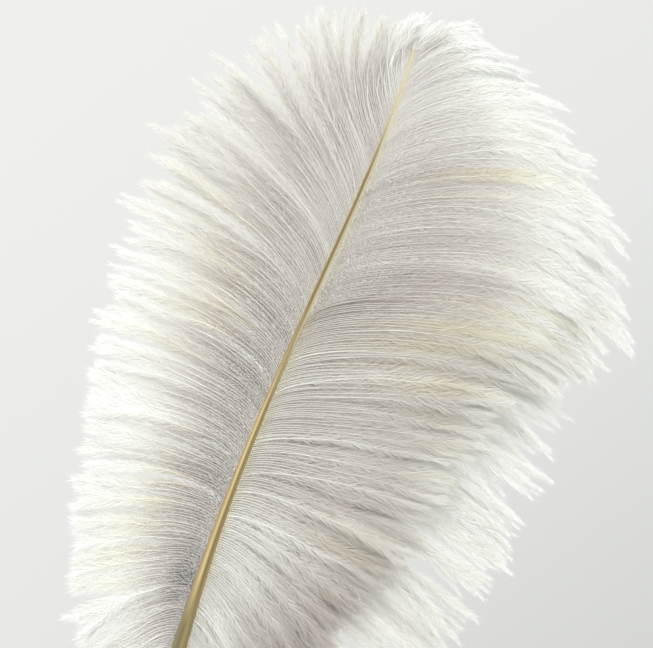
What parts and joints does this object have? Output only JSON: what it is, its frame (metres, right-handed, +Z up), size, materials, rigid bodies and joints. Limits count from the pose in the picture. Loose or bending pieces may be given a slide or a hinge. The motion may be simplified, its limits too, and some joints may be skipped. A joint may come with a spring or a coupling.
{
  "type": "ostrich plume",
  "caption": "Single white ostrich plume on a hollow quill, with a golden grooved shaft that bends and long soft fluffy barbs, wider on one side.",
  "frame": {"origin": "on the quill's axis, at the lower end of its straight grip, just above the rounded nose", "axes": "+Z up along the quill, +X towards the wider vane, -Y towards the grooved underside of the shaft"},
  "size_m": [0.1493, 0.017, 0.2797],
  "materials": {
    "horn_quill": "natural horn, translucent, satin",
    "golden_horn": "natural golden horn, satin",
    "pulp": "dry membrane",
    "pith": "dry foam, matte",
    "barbs": "soft fluffy feather barbs, matte with a light sheen",
    "down": "loose downy barbs, matte"
  },
  "bodies": {
    "quill": {"calamus": "horn_quill", "pulp_caps": "pulp", "rachis_base": "golden_horn", "pith_base": "pith", "downy_barbs_left": "down", "downy_barbs_right": "down", "rear_barbs_base": "barbs"},
    "shaft_lower": {"rachis_lower": "golden_horn", "pith_lower": "pith", "left_vane_lower": "barbs", "right_vane_lower": "barbs", "rear_barbs_lower": "barbs"},
    "shaft_middle": {"rachis_middle": "golden_horn", "pith_middle": "pith", "left_vane_middle": "barbs", "right_vane_middle": "barbs", "rear_barbs_middle": "barbs"},
    "shaft_upper": {"rachis_upper": "golden_horn", "pith_upper": "pith", "left_vane_upper": "barbs", "right_vane_upper": "barbs"},
    "shaft_tip": {"rachis_tip": "golden_horn", "pith_tip": "pith", "left_vane_tip": "barbs", "right_vane_tip": "barbs", "crown_barbs": "barbs"}
  },
  "joints": [
    {"name": "bend_base", "type": "hinge", "parent": "quill", "child": "shaft_lower", "pos_m": [0.00047, 0, 0.08056], "axis": [1, 0, 0], "range_deg": [-5, 5], "stiffness_Nm_per_rad": 0.3},
    {"name": "bend_lower", "type": "hinge", "parent": "shaft_lower", "child": "shaft_middle", "pos_m": [0.00336, 0, 0.12536], "axis": [1, 0, 0], "range_deg": [-7, 7], "stiffness_Nm_per_rad": 0.12},
    {"name": "bend_middle", "type": "hinge", "parent": "shaft_middle", "child": "shaft_upper", "pos_m": [0.00916, 0, 0.17016], "axis": [1, 0, 0], "range_deg": [-9, 9], "stiffness_Nm_per_rad": 0.03},
    {"name": "bend_upper", "type": "hinge", "parent": "shaft_upper", "child": "shaft_tip", "pos_m": [0.01607, 0, 0.21496], "axis": [1, 0, 0], "range_deg": [-12, 12], "stiffness_Nm_per_rad": 0.006}
  ]
}
